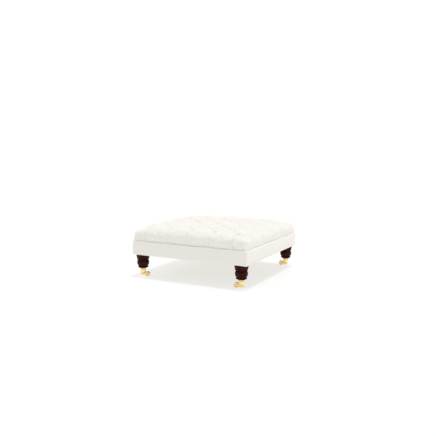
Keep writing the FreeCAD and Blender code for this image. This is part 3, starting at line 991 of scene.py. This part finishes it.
for vertex in dust_form.verts:
    share_x = 1.0 - (vertex.co.x / dust_half) ** 2
    share_y = 1.0 - (vertex.co.y / dust_half) ** 2
    ripple = dust_ripple * math.sin(vertex.co.x * 31.0 + 2.0 * vertex.co.y) * math.sin(vertex.co.y * 27.0)
    vertex.co.z = (dust_low.z + dust_high.z) / 2.0 - (dust_sag + ripple) * share_x * share_y
dust_cloth = made("dust_cloth", dust_form, black_cloth, "stool")
give_thickness(dust_cloth, dust_thickness)
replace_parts(dust_cloth, "dust_cover")

# Staples: plated wire staples in a row round the edge of the dust cover, left out where the legs
# stand.
swivel = [joint for joint in frame["joints"] if joint["name"] == "swivel_back_right"][0]
leg_x, leg_y, axle_height = swivel["pos_m"]
leg_top_radius = 54 * MM
staple_length = 11 * MM
staple_wire = 1.1 * MM
staple_pitch = 40 * MM
staple_inset = 9 * MM
staples_form = bmesh.new()
one_staple = bmesh.new()
bmesh.ops.create_cube(one_staple, size=1.0)
bmesh.ops.scale(one_staple, vec=(staple_length, staple_wire, 0.6 * staple_wire), verts=one_staple.verts)
bevelled(one_staple, one_staple.edges[:], 0.25 * MM, 2)
staple_count = int(2.0 * (dust_half - staple_inset) / staple_pitch)
for quarter in range(4):
    for index in range(staple_count):
        along = (index - (staple_count - 1) / 2.0) * staple_pitch
        spot = Vector((along, -dust_half + staple_inset, dust_low.z - 0.25 * staple_wire))
        turned = Matrix.Rotation(quarter * math.pi / 2.0, 4, "Z") @ Matrix.Translation(spot)
        centre = turned.translation
        to_leg = math.hypot(abs(centre.x) - leg_x, abs(centre.y) - leg_y)
        if to_leg > leg_top_radius + staple_length:
            placed(staples_form, one_staple, turned)
one_staple.free()
staples = made("staples", staples_form, steel, "stool", math.radians(40))

# Legs: turned from one piece of mahogany, stained dark and lacquered. Each has a flared foot, a
# bead, a bulb, a cove and a second bead under a flared shoulder, and a spigot that fills its cup.
mahogany = Finish("dark_mahogany", Specular_IOR_Level=0.07)
mahogany_figure = mahogany.noise(mahogany.place((55.0, 55.0, 7.0)), 1.0, 4.0, 0.6)
mahogany_pores = mahogany.noise(mahogany.place((700.0, 700.0, 40.0)), 1.0, 2.0, 0.6)
mahogany_mix = mahogany_figure * 0.75 + mahogany_pores * 0.25
mahogany.tint(
    mahogany_mix,
    (0.35, (0.020, 0.0022, 0.0019)),
    (0.52, (0.033, 0.0040, 0.0034)),
    (0.68, (0.052, 0.0088, 0.0070)),
)
mahogany.set(Roughness=mahogany_figure * 0.15 + 0.3)
mahogany.relief(mahogany_pores, 0.15, 0.1 * MM)
leg_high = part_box("legs")[1]
corners = [(-1, -1), (1, -1), (-1, 1), (1, 1)]
cup_top = 66.0 * MM
cup_inside = 37.0 * MM
spigot_radius = 18.0 * MM
foot_radius = 27.5 * MM
tenon_radius = 44.0 * MM
leg_profile = [(0.0, cup_inside), (spigot_radius, cup_inside)]
leg_profile += [(spigot_radius, cup_top), (foot_radius, cup_top)]
# In millimetres, each moulding's radius and height at its upper end and its swell, then its steps
for radius, height, swell, steps in (
    (35.0, 71.0, -1.0, 7),
    (34.8, 82.0, 6.2, 12),
    (34.8, 84.5, -0.5, 4),
    (40.0, 129.0, 10.2, 22),
    (46.5, 137.0, -1.6, 7),
    (46.5, 145.7, 2.1, 10),
    (52.6, 172.0, 1.8, 12),
    (52.2, 176.3, 0.4, 5),
):
    leg_profile += moulding(leg_profile[-1], (radius * MM, height * MM), swell * MM, steps)
leg_profile += [(tenon_radius, leg_profile[-1][1]), (tenon_radius, leg_high.z), (0.0, leg_high.z)]


def on_each_leg(source):
    """Form with a copy of another one on the axis of each leg."""
    form = bmesh.new()
    for corner in corners:
        placed(form, source, Matrix.Translation((corner[0] * leg_x, corner[1] * leg_y, 0.0)))
    source.free()
    return form


legs_form = on_each_leg(spun(leg_profile, 72))
turned_legs = made("turned_legs", legs_form, mahogany, "stool", math.radians(28))
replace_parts(turned_legs, "legs")

# Castor cups: solid brass, turned with a flared rim and polished, each screwed to its leg by three
# countersunk screws. The swivel pin is one piece with the cup and is riveted under the fork.
brass = Finish("polished_brass", Metallic=1.0)
brass_haze = brass.noise(brass.place(), 60.0, 4.0, 0.6)
brass_marks = brass.noise(brass.place((40.0, 40.0, 900.0)), 1.0, 2.0)
brass.tint(
    brass_haze,
    (0.3, (0.80, 0.58, 0.24)),
    (0.55, (0.88, 0.67, 0.31)),
    (0.8, (0.91, 0.71, 0.36)),
)
brass.set(Roughness=brass_haze * 0.14 + brass_marks * 0.08 + 0.1)
brass.relief(brass_marks, 0.05, 0.05 * MM)
cup_base = 33.0 * MM
cup_radius = 20.75 * MM
cup_rim = 26.0 * MM
cup_inner = 18.25 * MM
pin_radius = 4.0 * MM
rivet_radius = 7.0 * MM
rivet_low = 7.7 * MM
rivet_high = 10.2 * MM
flare_base = 55.5 * MM
flare_top = 60.3 * MM
rim_top = 65.3 * MM
rim_radius = cup_rim - 0.5 * MM
cup_profile = [(0.0, rivet_low)]
cup_profile += moulding(cup_profile[-1], (rivet_radius, rivet_low + 1.2 * MM), 1.2 * MM, 6)
cup_profile += [(rivet_radius, rivet_high), (pin_radius, rivet_high), (pin_radius, cup_base)]
cup_profile += [(cup_radius - 1.2 * MM, cup_base)]
cup_profile += moulding(cup_profile[-1], (cup_radius, cup_base + 1.6 * MM), 0.4 * MM, 4)
cup_profile += [(cup_radius, flare_base)]
cup_profile += moulding(cup_profile[-1], (rim_radius, flare_top), -1.1 * MM, 8)
cup_profile += moulding(cup_profile[-1], (rim_radius, rim_top), 0.5 * MM, 8)
cup_profile += [(cup_rim - 1.4 * MM, cup_top), (cup_inner, cup_top)]
cup_profile += [(cup_inner, cup_inside), (0.0, cup_inside)]
cups_form = on_each_leg(spun(cup_profile, 64))
brass_cups = made("brass_cups", cups_form, brass, "stool", math.radians(32))
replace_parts(brass_cups, "castor_cups")

# Cup screws: slotted brass wood screws, three to a cup, driven through its wall into the leg. Their
# heads stand just proud.
screw_radius = 2.9 * MM
screw_slot = 0.7 * MM
screw_shank = 0.8 * MM
screw_height = 47.0 * MM
screw_sink = 0.25 * MM
screw_head = 0.9 * MM


def raise_faces(form, faces, travel):
    """Extrudes a patch of faces and moves it."""
    raised = bmesh.ops.extrude_face_region(form, geom=faces)["geom"]
    raised_verts = [item for item in raised if isinstance(item, bmesh.types.BMVert)]
    bmesh.ops.translate(form, vec=travel, verts=raised_verts)


one_screw = bmesh.new()
bmesh.ops.create_circle(one_screw, cap_ends=True, segments=24, radius=screw_radius)
for side in (-1.0, 1.0):
    bmesh.ops.bisect_plane(
        one_screw,
        geom=one_screw.verts[:] + one_screw.edges[:] + one_screw.faces[:],
        plane_co=(0.0, side * screw_slot / 2.0, 0.0),
        plane_no=(0.0, 1.0, 0.0),
    )
off_slot = screw_slot / 4.0
head_faces = [face for face in one_screw.faces if abs(face.calc_center_median().y) > off_slot]
raise_faces(one_screw, head_faces, (0.0, 0.0, screw_head))
bmesh.ops.delete(one_screw, geom=head_faces, context="FACES")
extend_rim(one_screw, (0.0, 0.0, -screw_shank))
close_rim(one_screw)
three_screws = bmesh.new()
for third in range(3):
    turn = Matrix.Rotation(math.radians(30.0 + 120.0 * third), 4, "Z")
    seat = Matrix.Translation((cup_radius - screw_sink, 0.0, screw_height))
    face_out = Matrix.Rotation(math.pi / 2.0, 4, "Y")
    slot_turn = Matrix.Rotation(math.radians(35.0 * third), 4, "Z")
    placed(three_screws, one_screw, turn @ seat @ face_out @ slot_turn)
one_screw.free()
cup_screws = made("cup_screws", on_each_leg(three_screws), brass, "stool", math.radians(30))

# Castor forks: cast and polished brass, a round hub that turns on the swivel pin and two cheeks
# that trail behind it and hold the axle.
wheel_radius = axle_height
hub_radius = 18.0 * MM
hub_base = 10.5 * MM
hub_top = cup_base - 0.05 * MM
pin_bore = 4.08 * MM
trail = hub_radius + 1.2 * MM + wheel_radius
cheek_inner = 7.75 * MM
cheek_thickness = 3.5 * MM
cheek_boss = 8.5 * MM
cheek_root = 12.0 * MM
cheek_waist = 2.5 * MM
cheek_easing = 0.7 * MM
hub_profile = [(pin_bore, hub_base), (9.0 * MM, hub_base)]
hub_profile += moulding(hub_profile[-1], (hub_radius, hub_base + 5.0 * MM), 1.6 * MM, 7)
hub_profile += [(hub_radius, hub_top - 1.55 * MM)]
hub_profile += moulding(hub_profile[-1], (hub_radius - 1.2 * MM, hub_top), 0.3 * MM, 4)
hub_profile += [(pin_bore, hub_top), (pin_bore, hub_base)]


def cheek_form():
    """One cheek: an arm with a waist and a round boss, its edges eased."""
    form = bmesh.new()
    outline = []
    for step in range(17):
        turn = math.radians(90.0 - 180.0 * step / 16.0)
        outline.append((trail + cheek_boss * math.cos(turn), wheel_radius + cheek_boss * math.sin(turn)))
    for side in (-1.0, 1.0):
        for step in range(1, 9):
            share = step / 9.0 if side < 0.0 else 1.0 - step / 9.0
            x = trail + (cheek_root - trail) * share
            half = cheek_boss - cheek_waist * math.sin(math.pi * share) ** 2
            outline.append((x, wheel_radius + side * half))
        if side < 0.0:
            outline.append((cheek_root, wheel_radius - cheek_boss))
            outline.append((cheek_root, wheel_radius + cheek_boss))
    face = form.faces.new([form.verts.new((x, 0.0, z)) for x, z in outline])
    raise_faces(form, [face], (0.0, cheek_thickness, 0.0))
    bmesh.ops.recalc_face_normals(form, faces=form.faces)
    rims = [edge for edge in form.edges if abs(edge.verts[0].co.y - edge.verts[1].co.y) < 1e-7]
    bevelled(form, rims, cheek_easing, 3)
    return form


one_fork = spun(hub_profile, 64)
one_cheek = cheek_form()
for near in (cheek_inner, -cheek_inner - cheek_thickness):
    placed(one_fork, one_cheek, Matrix.Translation((0.0, near, 0.0)))
one_cheek.free()

# Castor axles: turned brass rivets through the wheel and both cheeks. Their domed heads are closed
# on the outside of the cheeks.
axle_radius = 3.0 * MM
axle_head = 4.3 * MM
axle_half = cheek_inner + cheek_thickness
axle_end = axle_half + 1.0 * MM
head_base = axle_half + 0.05 * MM
head_swell = 0.9 * MM
axle_profile = [(0.0, -axle_end)]
axle_profile += moulding(axle_profile[-1], (axle_head, -head_base), head_swell, 6)
axle_profile += [(axle_radius, -axle_half), (axle_radius, axle_half), (axle_head, head_base)]
axle_profile += moulding(axle_profile[-1], (0.0, axle_end), head_swell, 6)
one_axle = spun(axle_profile, 32)

# Castor wheels: turned from solid brass, with a rounded tread and a recess round the boss on each
# face. They run loose on their axles.
wheel_half = 7.0 * MM
wheel_bore = 3.08 * MM
recess_floor = wheel_half - 1.6 * MM
tread_edge = wheel_half - 2.2 * MM
side_edge = wheel_radius - 2.0 * MM
tread_swell = 0.32 * MM
wheel_side = [(wheel_bore, wheel_half), (7.2 * MM, wheel_half), (7.8 * MM, recess_floor)]
wheel_side += [(14.4 * MM, recess_floor), (15.0 * MM, wheel_half), (side_edge, wheel_half)]
wheel_profile = list(wheel_side)
wheel_profile += moulding((side_edge, wheel_half), (wheel_radius, tread_edge), tread_swell, 5)
wheel_profile += moulding((wheel_radius, -tread_edge), (side_edge, -wheel_half), tread_swell, 5)
wheel_profile += [(radius, -height) for radius, height in reversed(wheel_side)]
wheel_profile.append(wheel_profile[0])
one_wheel = spun(wheel_profile, 64)
lay_down = Matrix.Rotation(-math.pi / 2.0, 4, "X")
at_axle = Matrix.Translation((trail, 0.0, wheel_radius))
for corner, corner_name in zip(corners, corner_names):
    stand = Matrix.Translation((corner[0] * leg_x, corner[1] * leg_y, 0.0))
    if corner[0] > 0:
        stand = stand @ Matrix.Rotation(math.pi, 4, "Z")
    for part_name, source, inner, body in (
        ("fork", one_fork, Matrix.Identity(4), "castor_swivel_"),
        ("axle", one_axle, at_axle @ lay_down, "castor_swivel_"),
        ("wheel", one_wheel, at_axle @ lay_down, "castor_roller_"),
    ):
        form = bmesh.new()
        placed(form, source, stand @ inner)
        name = "brass_" + part_name + "_" + corner_name
        piece = made(name, form, brass, body + corner_name, math.radians(32))
        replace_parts(piece, "castor_" + part_name + "_" + corner_name)
for form in (one_fork, one_axle, one_wheel):
    form.free()
